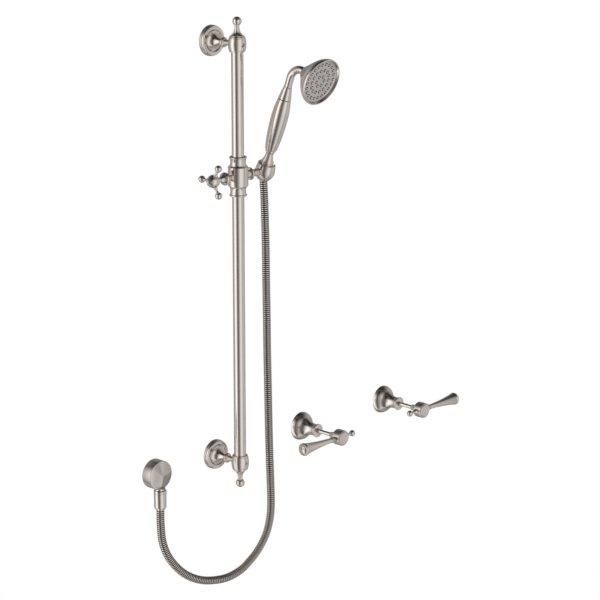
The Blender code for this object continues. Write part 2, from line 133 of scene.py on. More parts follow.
class Nodes:
    """A short way to add and join shader nodes."""

    def __init__(self, tree):
        self.tree = tree

    def add(self, kind, **values):
        node = self.tree.nodes.new(kind)
        for key, value in values.items():
            if key.startswith("in_"):
                node.inputs[int(key[3:])].default_value = value
            else:
                setattr(node, key, value)
        return node

    def link(self, source, target):
        self.tree.links.new(source, target)

    def math(self, operation, first, second=None):
        node = self.add("ShaderNodeMath", operation=operation)
        for k, value in enumerate((first, second)):
            if value is None:
                continue
            if isinstance(value, (int, float)):
                node.inputs[k].default_value = value
            else:
                self.link(value, node.inputs[k])
        return node.outputs[0]

    def ramp(self, factor, stops):
        node = self.add("ShaderNodeValToRGB")
        element = node.color_ramp.elements
        while len(element) < len(stops):
            element.new(0.5)
        for slot, (position, colour) in zip(element, stops):
            slot.position = position
            slot.color = (*colour, 1.0) if isinstance(colour, tuple) else (colour, colour, colour, 1.0)
        self.link(factor, node.inputs[0])
        return node.outputs[0]


def new_material(name, metallic=0.0, **sockets):
    material = bpy.data.materials.new(name)
    material.use_nodes = True
    shader = material.node_tree.nodes["Principled BSDF"]
    shader.inputs["Metallic"].default_value = metallic
    for key, value in sockets.items():
        shader.inputs[key.replace("_", " ").title()].default_value = value
    return material, Nodes(material.node_tree), shader


def brushed(name, colour, roughness, grain=1.0, spread=0.35):
    """Plated metal with a fine brushed grain that runs round the piece's own Z axis, as a lathe leaves it."""
    material, nodes, shader = new_material(name, metallic=1.0)
    spot = nodes.add("ShaderNodeTexCoord").outputs["Object"]
    parts = nodes.add("ShaderNodeSeparateXYZ")
    nodes.link(spot, parts.inputs[0])
    x, y, z = parts.outputs
    radius = nodes.math("SQRT", nodes.math("ADD", nodes.math("MULTIPLY", x, x), nodes.math("MULTIPLY", y, y)))
    angle = nodes.math("ARCTAN2", y, x)
    grain_at = nodes.add("ShaderNodeCombineXYZ")
    nodes.link(radius, grain_at.inputs[0])
    nodes.link(nodes.math("MULTIPLY", nodes.math("SINE", angle), 0.0002), grain_at.inputs[1])
    nodes.link(z, grain_at.inputs[2])
    fine = nodes.add("ShaderNodeTexNoise")
    fine.inputs["Scale"].default_value = 2600.0
    fine.inputs["Detail"].default_value = 3.0
    nodes.link(grain_at.outputs[0], fine.inputs["Vector"])
    broad = nodes.add("ShaderNodeTexNoise")
    broad.inputs["Scale"].default_value = 28.0
    broad.inputs["Detail"].default_value = 2.0
    nodes.link(spot, broad.inputs["Vector"])
    tint = [tuple(min(1.0, c * k) for c in colour) for k in (1 - 0.045 * grain, 1.0, 1 + 0.035 * grain)]
    shade = nodes.ramp(fine.outputs[0], ((0.3, tint[0]), (0.5, tint[1]), (0.72, tint[2])))
    nodes.link(shade, shader.inputs["Base Color"])
    rough = nodes.math("MULTIPLY", nodes.math("SUBTRACT", fine.outputs[0], 0.5), 0.07 * grain)
    rough = nodes.math("ADD", rough, nodes.math("MULTIPLY", nodes.math("SUBTRACT", broad.outputs[0], 0.5), 0.05))
    nodes.link(nodes.math("ADD", rough, roughness), shader.inputs["Roughness"])
    shader.inputs["Anisotropic"].default_value = spread
    tangent = nodes.add("ShaderNodeTangent", direction_type="RADIAL", axis="Z")
    nodes.link(tangent.outputs[0], shader.inputs["Tangent"])
    bump = nodes.add("ShaderNodeBump")
    bump.inputs["Strength"].default_value = 0.2 * grain
    bump.inputs["Distance"].default_value = 0.000006
    nodes.link(fine.outputs[0], bump.inputs["Height"])
    nodes.link(bump.outputs[0], shader.inputs["Normal"])
    return material


def paint_wedge_light(name, colour, roughness):
    """Nickel with a circular brushed face, with light and dark wedges out from the middle painted into its colour:
    painted highlights and shade in place of those its lathe marks throw.
    """
    material = brushed(name, colour, roughness, grain=1.0, spread=0.7)
    nodes = Nodes(material.node_tree)
    shader = material.node_tree.nodes["Principled BSDF"]
    shade = shader.inputs["Base Color"].links[0].from_socket
    parts = nodes.add("ShaderNodeSeparateXYZ")
    nodes.link(nodes.add("ShaderNodeTexCoord").outputs["Object"], parts.inputs[0])
    # Painted highlights and shade: the colour is darkened by a brightness that changes round the piece's own axis.
    turn = nodes.math("DIVIDE", nodes.math("ARCTAN2", parts.outputs[1], parts.outputs[0]), 2 * math.pi)
    wedges = nodes.ramp(nodes.math("ADD", turn, 0.5), PAINTED_WEDGE_LIGHT)
    mix = nodes.add("ShaderNodeMix", data_type="RGBA", blend_type="MULTIPLY")
    mix.inputs[0].default_value = 1.0
    nodes.link(shade, mix.inputs[6])
    nodes.link(wedges, mix.inputs[7])
    nodes.link(mix.outputs[2], shader.inputs["Base Color"])
    return material


def moulded(name, colour, roughness, speckle=0.04, scale=900.0):
    """A moulded plastic, rubber or silicone with a faint mottle and a fine matt skin."""
    material, nodes, shader = new_material(name)
    spot = nodes.add("ShaderNodeTexCoord").outputs["Object"]
    noise = nodes.add("ShaderNodeTexNoise")
    noise.inputs["Scale"].default_value = scale
    noise.inputs["Detail"].default_value = 4.0
    nodes.link(spot, noise.inputs["Vector"])
    low, high = (tuple(max(0.0, c * (1 + k)) for c in colour) for k in (-speckle * 2, speckle))
    nodes.link(nodes.ramp(noise.outputs[0], ((0.35, low), (0.65, high))), shader.inputs["Base Color"])
    rough = nodes.math("MULTIPLY", nodes.math("SUBTRACT", noise.outputs[0], 0.5), 0.2)
    nodes.link(nodes.math("ADD", rough, roughness), shader.inputs["Roughness"])
    bump = nodes.add("ShaderNodeBump")
    bump.inputs["Strength"].default_value = 0.08
    bump.inputs["Distance"].default_value = 0.0002
    nodes.link(noise.outputs[0], bump.inputs["Height"])
    nodes.link(bump.outputs[0], shader.inputs["Normal"])
    return material


def make_materials():
    return {
        "nickel": brushed("brushed_nickel", NICKEL, 0.15, grain=0.5, spread=0.1),
        "nickel_bar": brushed("brushed_nickel_bar", NICKEL, 0.16, grain=0.5, spread=0.2),
        "nickel_disc": brushed("brushed_nickel_disc", NICKEL, 0.25, grain=1.2, spread=0.8),
        "nickel_polish": brushed("polished_nickel", NICKEL, 0.11, grain=0.3, spread=0.0),
        "nickel_painted_wedges": paint_wedge_light("nickel_with_painted_wedges", BRIGHT_NICKEL, 0.28),
        "hose_steel": brushed("hose_metal", (0.88, 0.80, 0.74), 0.20, grain=0.6, spread=0.0),
        # Near-black metal: painted shade in the hose's grooves and on the walls of the shower face's holes.
        "painted_shade": brushed("painted_shade_metal", (0.05, 0.045, 0.042), 0.5, grain=0.6, spread=0.0),
        "plate": brushed("shower_face_metal", (0.72, 0.665, 0.625), 0.30, grain=0.6, spread=0.3),
        "brass": brushed("machined_brass", (0.72, 0.53, 0.25), 0.32, grain=0.8),
        "steel": brushed("stainless_steel", (0.55, 0.56, 0.57), 0.33, grain=0.8),
        "nylon": moulded("white_nylon", (0.80, 0.79, 0.74), 0.50),
        "rubber": moulded("black_rubber", (0.030, 0.030, 0.032), 0.60),
        "silicone": moulded("grey_silicone", (0.80, 0.84, 0.90), 0.25, speckle=0.02),
    }


# ------------------------------------------------------------------------------------------------- shapes


def rounded(corners):
    """Reads an outline of (radius, height, kind) points. A kind of "c" lies on a smooth curve through its
    neighbours, and a number is the radius of a rounded corner."""
    points = [(p[0], p[1], p[2] if len(p) > 2 else 0.35) for p in corners]
    fine = []
    for k in range(len(points) - 1):
        here, there = points[k], points[k + 1]
        fine.append((Vector(here[:2]), 0.0 if here[2] == "c" else here[2]))
        if here[2] != "c" and there[2] != "c":
            continue
        before = points[k - 1] if here[2] == "c" and k > 0 else None
        after = points[k + 2] if there[2] == "c" and k + 2 < len(points) else None
        b, c = Vector(here[:2]), Vector(there[:2])
        a = Vector(before[:2]) if before else 2 * b - c
        d = Vector(after[:2]) if after else 2 * c - b
        pieces = max(2, min(10, int((c - b).length / 0.7)))
        for step in range(1, pieces):
            t = step / pieces
            cubic, square = -a + 3 * b - 3 * c + d, 2 * a - 5 * b + 4 * c - d
            fine.append((0.5 * (2 * b + (c - a) * t + square * t * t + cubic * t * t * t), 0.0))
    fine.append((Vector(points[-1][:2]), 0.0 if points[-1][2] == "c" else points[-1][2]))
    outline = []
    for k, (point, fillet) in enumerate(fine):
        ends = k == 0 or k == len(fine) - 1
        if fillet == 0.0 or (ends and point.x < 1e-6) or ends:
            outline.append((max(0.0, point.x), point.y))
            continue
        back, ahead = fine[k - 1][0] - point, fine[k + 1][0] - point
        reach = min(fillet, 0.45 * back.length, 0.45 * ahead.length)
        start, end = point + back.normalized() * reach, point + ahead.normalized() * reach
        for step in range(5):
            t = step / 4
            spot = start * (1 - t) ** 2 + point * (2 * t * (1 - t)) + end * t * t
            outline.append((max(0.0, spot.x), spot.y))
    return outline


def add_mesh(name, body):
    bmesh.ops.recalc_face_normals(body, faces=body.faces)
    mesh = bpy.data.meshes.new(name)
    body.to_mesh(mesh)
    body.free()
    obj = bpy.data.objects.new(name, mesh)
    bpy.context.scene.collection.objects.link(obj)
    mesh.shade_smooth()
    mesh.set_sharp_from_angle(angle=math.radians(38))
    return obj


def lathe_body(outline, steps=STEPS):
    """A closed body turned about local Z from an outline that runs down the outer side. An outline that
    starts and ends off the axis closes into a ring."""
    body = bmesh.new()
    rings = []
    for r, z in outline:
        if r < 1e-6:
            rings.append([body.verts.new((0, 0, mm(z)))])
        else:
            rings.append([
                body.verts.new((mm(r) * math.cos(2 * math.pi * k / steps), mm(r) * math.sin(2 * math.pi * k / steps),
                                mm(z))) for k in range(steps)])
    pairs = list(zip(rings, rings[1:]))
    if outline[0][0] > 1e-6 or outline[-1][0] > 1e-6:
        pairs.append((rings[-1], rings[0]))
    for upper, lower in pairs:
        for k in range(steps):
            n = (k + 1) % steps
            corners = [upper[k % len(upper)], upper[n % len(upper)], lower[n % len(lower)], lower[k % len(lower)]]
            unique = list(dict.fromkeys(corners))
            if len(unique) > 2:
                body.faces.new(unique)
    return body


def place(obj, at, along):
    turn = Vector(along).normalized().to_track_quat("Z", "Y").to_matrix().to_4x4()
    obj.matrix_world = Matrix.Translation(mm(at)) @ turn
    return obj


def cut(obj, other, operation="DIFFERENCE"):
    """Applies a Boolean with another object, which is then removed."""
    bpy.context.view_layer.update()
    change = obj.modifiers.new("cut", "BOOLEAN")
    change.operation = operation
    change.solver = "EXACT"
    change.object = other
    bake(obj)
    bpy.data.objects.remove(other)


def bake(obj):
    """Replaces a mesh by what its modifiers make of it."""
    bpy.context.view_layer.update()
    shown = obj.evaluated_get(bpy.context.evaluated_depsgraph_get())
    mesh = bpy.data.meshes.new_from_object(shown)
    obj.modifiers.clear()
    obj.data = mesh
    mesh.shade_smooth()
    mesh.set_sharp_from_angle(angle=math.radians(38))


def bar(radius, start, end, steps=48):
    start, end = Vector(start), Vector(end)
    length = (end - start).length
    obj = add_mesh("tool", lathe_body([(0, length), (radius, length), (radius, 0), (0, 0)], steps))
    return place(obj, start, end - start)


class Model:
    """Shows pieces on the frame's bodies, each with one of the shared materials."""

    def __init__(self, materials):
        self.materials = materials

    def show(self, obj, body, material, slot=None, replaces=()):
        obj.data.materials.clear()
        obj.data.materials.append(self.materials[material])
        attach(obj, body)
        if replaces:
            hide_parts(*replaces)
        return obj

    def turned(self, name, outline, at, along, body, material="nickel", slot=None, replaces=None, steps=STEPS,
               cuts=()):
        """A turned piece that stands for the frame's node of the same name."""
        obj = place(add_mesh("v_" + name, lathe_body(rounded(outline), steps)), at, along)
        for operation, tool in cuts:
            cut(obj, tool, operation)
        return self.show(obj, body, material, slot, replaces if replaces is not None else (name,))


def second_material(obj, model, material, chosen):
    """Adds a material, and gives it to the faces for which chosen() is true."""
    obj.data.materials.append(model.materials[material])
    for face in obj.data.polygons:
        if chosen(face):
            face.material_index = 1


def ball(centre, radius, top, bottom, count=9):
    """A ball's outline between two latitudes in degrees."""
    angles = [math.radians(top + (bottom - top) * k / (count - 1)) for k in range(count)]
    return [(max(0.0, radius * math.cos(a)), centre + radius * math.sin(a), 0) for a in angles]


def ring(outer, inner, low, high, fillet=0.3):
    return ((outer, high, fillet), (outer, low, fillet), (inner, low, fillet), (inner, high, fillet))


def smooth_line(route, spacing):
    """Evenly spaced points on a smooth curve through a route."""
    knots = [Vector(p) for p in route]
    knots = [2 * knots[0] - knots[1], *knots, 2 * knots[-1] - knots[-2]]
    fine = []
    for a, b, c, d in zip(knots, knots[1:], knots[2:], knots[3:]):
        for k in range(24):
            t = k / 24
            cubic, square = -a + 3 * b - 3 * c + d, 2 * a - 5 * b + 4 * c - d
            fine.append(0.5 * (2 * b + (c - a) * t + square * t * t + cubic * t * t * t))
    fine.append(knots[-2])
    travelled = [0.0]
    for first, second in zip(fine, fine[1:]):
        travelled.append(travelled[-1] + (second - first).length)
    count = round(travelled[-1] / spacing)
    line, i = [], 0
    for k in range(count + 1):
        target = travelled[-1] * k / count
        while i < len(fine) - 2 and travelled[i + 1] < target:
            i += 1
        share = (target - travelled[i]) / (travelled[i + 1] - travelled[i])
        line.append(fine[i].lerp(fine[i + 1], share))
    return line


def sweep(line, radii, sides):
    """A closed tube along a line, with a radius at each point. The frame is carried along without twist."""
    body = bmesh.new()
    heading = (line[1] - line[0]).normalized()
    side = heading.orthogonal().normalized()
    rings = []
    for k, point in enumerate(line):
        ahead = line[min(k + 1, len(line) - 1)] - line[max(k - 1, 0)]
        new = ahead.normalized()
        side = (heading.rotation_difference(new) @ side).normalized()
        side = (side - new * side.dot(new)).normalized()
        heading = new
        other = heading.cross(side)
        radius = radii[k]
        rings.append([
            body.verts.new(mm(point + (side * math.cos(a) + other * math.sin(a)) * radius))
            for a in (2 * math.pi * n / sides for n in range(sides))])
    for first, second in zip(rings, rings[1:]):
        for n in range(sides):
            m = (n + 1) % sides
            body.faces.new((first[n], first[m], second[m], second[n]))
    body.faces.new(rings[0][::-1])
    body.faces.new(rings[-1])
    return body


# -------------------------------------------------------------------------------------- camera and lights


# The camera, in metres, with the photograph's viewing angle.
CAMERA_AT = (-2.82545, -2.90607, 0.60624)
CAMERA_HEADING = Vector((0.7002, 0.6654, -0.2590))
CAMERA_LENS = 136.88  # mm, on a 36 mm wide sensor


def make_camera():
    data = bpy.data.cameras.new("camera")
    data.lens = CAMERA_LENS
    data.sensor_width = 36.0
    data.clip_end = 50.0
    camera = bpy.data.objects.new("camera", data)
    bpy.context.scene.collection.objects.link(camera)
    camera.location = CAMERA_AT
    camera.rotation_mode = "QUATERNION"
    camera.rotation_quaternion = CAMERA_HEADING.to_track_quat("-Z", "Y")
    bpy.context.scene.camera = camera


# The studio, as a ring of soft lights and dark gaps seen from the object: degrees round from the camera's
# side, clockwise from above, and brightness.
STUDIO = ((-180, 0.25), (-140, 0.45), (-118, 0.50), (-96, 0.66), (-76, 0.42), (-50, 0.92), (-30, 0.95),
          (-12, 0.55), (2, 0.24), (14, 0.14), (26, 0.12), (34, 0.28), (44, 0.88), (64, 1.45), (80, 1.05),
          (94, 0.55), (112, 0.30), (134, 0.55), (160, 0.25), (180, 0.25))
CAMERA_SIDE = 223.54  # degrees, anticlockwise from +X, of the direction from the object to the camera
# How bright the studio is by height: 0 is straight down, 0.5 level and 1 straight up.
STUDIO_HEIGHT = ((0.0, 0.70), (0.10, 0.80), (0.26, 1.0), (0.40, 1.0), (0.60, 1.0), (0.74, 0.85), (0.85, 0.30),
                 (0.93, 0.06), (1.0, 0.12))
FLOOR_AT = (0.1, -0.1, -1.62)  # metres
FLOOR_RADIUS = 0.95


def make_studio():
    """Lights the object by the two tables. The camera itself sees plain white behind it."""
    world = bpy.data.worlds.new("studio")
    bpy.context.scene.world = world
    world.use_nodes = True
    nodes = Nodes(world.node_tree)
    background = world.node_tree.nodes["Background"]
    output = world.node_tree.nodes["World Output"]
    direction = nodes.add("ShaderNodeTexCoord").outputs["Generated"]
    parts = nodes.add("ShaderNodeSeparateXYZ")
    nodes.link(direction, parts.inputs[0])
    x, y, z = parts.outputs
    turn = math.radians(CAMERA_SIDE)
    ahead = nodes.math("ADD", nodes.math("MULTIPLY", x, math.cos(turn)), nodes.math("MULTIPLY", y, math.sin(turn)))
    aside = nodes.math("SUBTRACT", nodes.math("MULTIPLY", y, math.cos(turn)),
                       nodes.math("MULTIPLY", x, math.sin(turn)))
    angle = nodes.math("DIVIDE", nodes.math("ARCTAN2", aside, ahead), 2 * math.pi)
    around = nodes.ramp(nodes.math("ADD", angle, 0.5),
                        tuple(((180 - side) / 360, level) for side, level in reversed(STUDIO)))
    height = nodes.ramp(nodes.math("ADD", nodes.math("MULTIPLY", z, 0.5), 0.5), STUDIO_HEIGHT)
    level = nodes.add("ShaderNodeMix", data_type="RGBA", blend_type="MULTIPLY")
    level.inputs[0].default_value = 1.0
    nodes.link(around, level.inputs[6])
    nodes.link(height, level.inputs[7])
    nodes.link(level.outputs[2], background.inputs["Color"])
    background.inputs["Strength"].default_value = 1.0
    plain = nodes.add("ShaderNodeBackground")
    plain.inputs["Color"].default_value = (1, 1, 1, 1)
    mix = nodes.add("ShaderNodeMixShader")
    nodes.link(nodes.add("ShaderNodeLightPath").outputs["Is Camera Ray"], mix.inputs[0])
    nodes.link(background.outputs[0], mix.inputs[1])
    nodes.link(plain.outputs[0], mix.inputs[2])
    nodes.link(mix.outputs[0], output.inputs["Surface"])
    bpy.context.scene.view_settings.view_transform = "Standard"


def make_floor():
    body = bmesh.new()
    bmesh.ops.create_circle(body, cap_ends=True, segments=96, radius=FLOOR_RADIUS)
    floor = add_mesh("floor", body)
    floor.location = FLOOR_AT
    material, nodes, shader = new_material("pale_floor")
    noise = nodes.add("ShaderNodeTexNoise")
    noise.inputs["Scale"].default_value = 6.0
    nodes.link(nodes.add("ShaderNodeTexCoord").outputs["Object"], noise.inputs["Vector"])
    nodes.link(nodes.ramp(noise.outputs[0], ((0.3, 0.80), (0.7, 0.84))), shader.inputs["Base Color"])
    shader.inputs["Roughness"].default_value = 0.9
    floor.data.materials.append(material)
    floor.visible_glossy = False


# ------------------------------------------------------------------------------------------------ pieces


def build_hose(model):
    """The ribbed hose, in four stretches."""
    line = smooth_line(HOSE_ROUTE, RIB_PITCH / RIB_POINTS)
    profile = [HOSE_R - RIB_DEPTH * (0.5 - 0.5 * math.cos(2 * math.pi * k / RIB_POINTS)) ** 2
               for k in range(RIB_POINTS)]
    radii = [profile[k % RIB_POINTS] for k in range(len(line))]
    marks = [0]
    for height in HOSE_CUTS:
        near = min(range(len(line) // 2), key=lambda k: abs(line[k].z - height))
        marks.append((near // RIB_POINTS) * RIB_POINTS + RIB_POINTS // 2)
    marks.append(len(line) - 1)
    bodies = (("handset", "cradle"), ("cradle", "slider"), ("slider", "slider_sleeve"),
              ("slider_sleeve", "wall_set"))
    names = ("hose_top", "hose_below_cradle", "hose_below_slider", "hose_loop")
    stretches = []
    for name, first, last, (upper, lower) in zip(names, marks, marks[1:], bodies):
        part, width = line[first:last + 1], radii[first:last + 1]
        obj = add_mesh(name, sweep(part, width, HOSE_SIDES))
        obj.data.materials.append(model.materials["hose_steel"])
        obj.data.materials.append(model.materials["painted_shade"])
        paint_groove_shade(obj, width)
        if name == "hose_loop":
            # An end point on a slant for the loop; nothing uses it.
            slant = Vector((-1, 0, -0.5)).normalized()
            start = part[0]
            end = start + slant * 0.95 * (part[-1] - start).dot(slant)
        else:
            start, end = part[0], part[-1]
        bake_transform(obj)
        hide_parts("hose")
        stretches.append((obj, [mm(p) for p in part]))
    return stretches


def paint_groove_shade(obj, width):
    """Gives the faces at the bottom of each groove the near-black metal, painted shade in the groove. The faces run
    ring by ring.
    """
    shade_r = HOSE_R - RIB_DEPTH * SHADE_DEPTH_SHARE
    for face in obj.data.polygons:
        ring_at = face.index // HOSE_SIDES
        if ring_at < len(width) - 1 and max(width[ring_at], width[ring_at + 1]) < shade_r:
            face.material_index = 1


def build_bracket(model, end, height, sign):
    centre = RAIL_AXIS + UP * height
    outward = UP * sign
    wall = UP * height
    hole = bar(4.1, wall + OUT * 49, wall + OUT * 55)
    screw_hole = bar(2.7, centre + OUT * 10, centre + OUT * 18, 32)
    model.turned(
        f"{end}_bracket",
        ((13.4, 13.5, 0.3), (14.3, 13.2, 0.4), (14.3, 11.6, 0.3), (14.9, 10.8, 0.4), (15.5, 8, "c"), (16.2, 2, "c"),
         (16.2, -2, "c"), (15.5, -8, "c"), (14.9, -10.8, 0.4), (14.3, -11.6, 0.3), (14.3, -13.2, 0.4),
         (13.4, -13.5, 0.3), (11.35, -13.5, 0.2), (11.35, 9, 0.3), (3.4, 9, 0.2), (3.4, 13.5, 0.2)),
        centre, outward, "wall_set", cuts=(("DIFFERENCE", hole), ("DIFFERENCE", screw_hole)))
    model.turned(
        f"{end}_post",
        ((0, 54.6), (3.8, 54.6), (3.8, 51.8, 0.2), (4.8, 51.4, 0.3), (4.8, 46, "c"), (4.8, 39.4, 0.4),
         (6.4, 38.4, 0.5), (8.3, 37.3, "c"), (9.2, 35, "c"), (8.3, 32.7, "c"), (6.4, 31.4, 0.5), (5.5, 30.4, 0.4),
         (5.6, 27, "c"), (6.5, 21.4, "c"), (8.4, 16.2, "c"), (11.4, 12.2, "c"), (15, 9.8, "c"), (18, 8.8, 0.2),
         (18, 8.3, 0.1), (3.4, 8.3), (3.4, 22), (0, 22)),
        wall, OUT, "wall_set")
    model.turned(
        f"{end}_flange",
        ((3.5, 7.9), (18.2, 7.9, 0.4), (19.2, 8.6, 0.5), (20.2, 10.1, 0.5), (21.2, 10.4, 0.4),
         (25.4, 10.2, 0.7), (26.9, 9.2, 0.8), (27, 5.6, 0.4), (27.4, 5.1, 0.3), (28, 4.6, 0.4),
         (28, 0, 0.3), (25.4, 0, 0.2), (25.4, 3, 0.5), (20, 6, 0.5), (3.5, 6)),
        wall, OUT, "wall_set", steps=96)
    model.turned(
        f"{end}_finial",
        (*ball(40.8, 8.2, 90, -58, 14), (4.5, 33.0, 0.3), (4.2, 31.6, "c"), (4.5, 28, "c"), (5.4, 24, "c"),
         (7.2, 20.2, "c"), (9.6, 17.4, "c"), (11.2, 16.0, 0.4), (12.2, 15.4, 0.4), (12.2, 14.3, 0.3),
         (11.4, 13.8, 0.2), (3, 13.8), (3, 9.8), (0, 9.8)),
        centre, outward, "wall_set")
    socket = place(add_mesh("tool", lathe_body([(0, 3), (1.3, 3), (1.3, 0), (0, 0)], 6)), centre + OUT * 13.6, OUT)
    model.turned(
        f"{end}_grub_screw", ((0, 15.9), (2.3, 15.9, 0.3), (2.3, 11.6), (0, 11.6)), centre, OUT, "wall_set", "steel",
        "steel", steps=32, cuts=(("DIFFERENCE", socket),))


def build_rail(model):
    model.turned("rail_tube", ring(RAIL_R, RAIL_R - 1.2, LOWER_Z - 8.6, 8.6), RAIL_AXIS, UP, "wall_set",
                 "nickel_bar", steps=96)
    build_bracket(model, "upper", 0, 1)
    build_bracket(model, "lower", LOWER_Z, -1)


def build_slider(model):
    centre = SLIDER_CENTRE
    half = ((15.0, 36, 0.3), (16, 35.2, 0.4), (16, 33.6, 0.4), (15.0, 32.6, 0.3), (14.7, 31.8, 0.2),
            (14.2, 28.5, "c"), (14.0, 26, "c"), (14.4, 22.8, "c"), (15.4, 20, "c"), (16.8, 18.2, 0.3),
            (17.6, 17.9, 0.2), (18.4, 17.0, 0.5))
    outline = (*half, *[(p[0], -p[1], *p[2:]) for p in reversed(half)], (12.95, -36, 0.2), (12.95, 36, 0.2))
    body = place(add_mesh("v_slider_body", lathe_body(rounded(outline), 96)), centre, UP)
    boss = rounded(((0, 30.5), (10.4, 30.5, 0.3), (10.9, 29.8, 0.4), (10.4, 28.4, "c"), (8.8, 25.4, "c"),
                    (7.5, 22.0, 0.4), (7.2, 20.4, 0.4), (7.2, 13.6), (0, 13.6)))
    cut(body, place(add_mesh("tool", lathe_body(boss, 64)), centre, -RIGHT), "UNION")
    cut(body, bar(8, centre + RIGHT * 13.6, centre + RIGHT * 27.7), "UNION")
    cut(body, bar(3.6, centre - RIGHT * 11, centre - RIGHT * 32))
    cut(body, bar(4.3, centre + RIGHT * 11, centre + RIGHT * 29))
    model.show(body, "slider", "nickel", replaces=("slider_body",))


def build_clamp(model):
    centre, left = SLIDER_CENTRE, -RIGHT
    model.turned(
        "knob_skirt",
        ((4.4, 50, 0.2), (4.1, 48, "c"), (4.1, 46.5, "c"), (4.9, 43.4, "c"), (6.8, 40.4, "c"), (9.0, 38, "c"),
         (10.9, 36.2, 0.4), (11.8, 34.6, 0.5), (11.9, 33.2, 0.4), (11.3, 32.2, 0.3), (10.2, 31, 0.4), (3.3, 31),
         (3.3, 50)),
        centre, left, "clamp_knob")
    hub = centre + left * CLAMP_OUT
    spokes = [Vector((0, math.cos(a), math.sin(a))) for a in (math.radians(120 * k) for k in range(3))]
    cuts = [("DIFFERENCE", bar(2.4, hub + s * 8, hub + s * 14, 32)) for s in spokes]
    model.turned(
        "knob_hub",
        ((0, 77), (1.2, 76.9, "c"), (3.0, 75.9, "c"), (6.0, 73.3, "c"), (9.2, 69.8, "c"), (11.2, 66, "c"),
         (11.9, 62.4, "c"), (11.2, 58, "c"), (8.8, 53.9, "c"), (6.0, 51.6, 0.4), (5.0, 50.3, 0.3), (3.3, 50.3),
         (3.3, 60.3), (0, 60.3)),
        centre, left, "clamp_knob", cuts=cuts)
    for k, spoke in enumerate(spokes):
        model.turned(
            f"knob_spoke_{k + 1}",
            (*ball(28, 6.5, 90, -60, 12), (2.7, 21.6, 0.3), (2.4, 19.6, "c"), (2.5, 17.4, "c"), (3.0, 15, "c"),
             (4.0, 12.7, 0.3), (3.9, 12.3, 0.2), (2, 12.4), (2, 8.4), (0, 8.4)),
            hub, spoke, "clamp_knob", steps=48)


def build_cradle(model):
    centre = SLIDER_CENTRE
    model.turned(
        "holder_arm",
        ((0, 38), (2.5, 38), (2.5, 47.9), (6.2, 47.9, 0.3), (7.0, 46.6, "c"), (7.0, 44.6, "c"), (6.7, 41.6, "c"),
         (6.9, 38, "c"), (8.2, 34.4, "c"), (10.4, 31.6, 0.4), (11.7, 30.4, 0.4), (11.7, 28.9, 0.4),
         (11.1, 28, 0.3), (4, 28), (4, 15), (0, 15)),
        centre, RIGHT, "slider")
    cup_cuts = (
        ("UNION", cup_ridges()),
        ("UNION", bar(7.2, centre + RIGHT * 49.7, centre + RIGHT * 53.6)),
        ("DIFFERENCE", bar(2.6, centre + RIGHT * 48, centre + RIGHT * 60, 32)),
        ("DIFFERENCE", bar(4.4, centre + RIGHT * 54.6, centre + RIGHT * 62, 32)),
        ("DIFFERENCE", slot_tool()),
    )
    model.turned(
        "cradle_cup",
        ((14.6, 14.9, 0.3), (15.9, 14.6, 0.5), (16.4, 13.2, 0.4), (16.9, 10, "c"), (17.7, 5, "c"), (18.2, 0.5, "c"),
         (17.8, -4.6, "c"), (15.6, -10.4, "c"), (12.8, -14.6, 0.4), (12.2, -15.6, 0.3), (11.6, -16.6, 0.3),
         (10.1, -16.6, 0.2), (10.1, -8, 0.5), (12.6, 6, "c"), (12.7, 14.7, 0.2)),
        TILT_POINT, HANDSET_UP, "cradle", cuts=cup_cuts, steps=96)


def cup_ridges():
    """Two fine ribs down the cup's side from the rim, over the arm."""
    shape = ((15.6, 14.2, 0.2), (16.8, 13.2, 0.4), (17.3, 10, "c"), (18.1, 5, "c"), (18.6, 0.5, "c"),
             (18.2, -4.8, "c"), (16.0, -10.8, "c"), (13.2, -15, 0.4), (11.6, -15.6, 0.2), (14, -9), (15.4, 0),
             (14.6, 12))
    ribs = place(add_mesh("tool", lathe_body(rounded(shape), 96)), TILT_POINT, HANDSET_UP)
    body = bmesh.new()
    for across in (-1.1, 1.1):
        made = bmesh.ops.create_cube(body, size=1.0)["verts"]
        bmesh.ops.scale(body, vec=mm((20, 0.6, 50)), verts=made)
        bmesh.ops.translate(body, vec=mm((-14, across, 0)), verts=made)
    cut(ribs, place(add_mesh("tool", body), TILT_POINT, HANDSET_UP), "INTERSECT")
    return ribs


def slot_tool():
    body = bmesh.new()
    bmesh.ops.create_cube(body, size=1.0)
    bmesh.ops.scale(body, vec=mm((30, 17, 50)), verts=body.verts)
    bmesh.ops.bevel(body, geom=[e for e in body.edges if abs(e.verts[0].co.z - e.verts[1].co.z) > 0.01],
                    offset=0.0015, segments=4, affect="EDGES")
    return place(add_mesh("tool", body), TILT_POINT + RIGHT * 15, HANDSET_UP)


def neck_line():
    start = TILT_POINT + HANDSET_UP * NECK_START
    end = HEAD_CENTRE - FACE_OUT * (HEAD_DEPTH + GAP)
    turn = math.acos(HANDSET_UP.dot(FACE_OUT))
    side = (FACE_OUT - HANDSET_UP * HANDSET_UP.dot(FACE_OUT)).normalized()
    corner = HANDSET_UP * math.tan(turn / 2) * NECK_BEND_R
    offset = end - start
    straight = offset.dot(HANDSET_UP) - offset.dot(side) / math.sin(turn) * math.cos(turn)
    bend_start = start + HANDSET_UP * straight - corner
    centre = bend_start + side * NECK_BEND_R
    bend = [
        centre - side * (NECK_BEND_R * math.cos(turn * k / 28))
        + HANDSET_UP * (NECK_BEND_R * math.sin(turn * k / 28))
        for k in range(29)
    ]
    return [start, *bend, end]


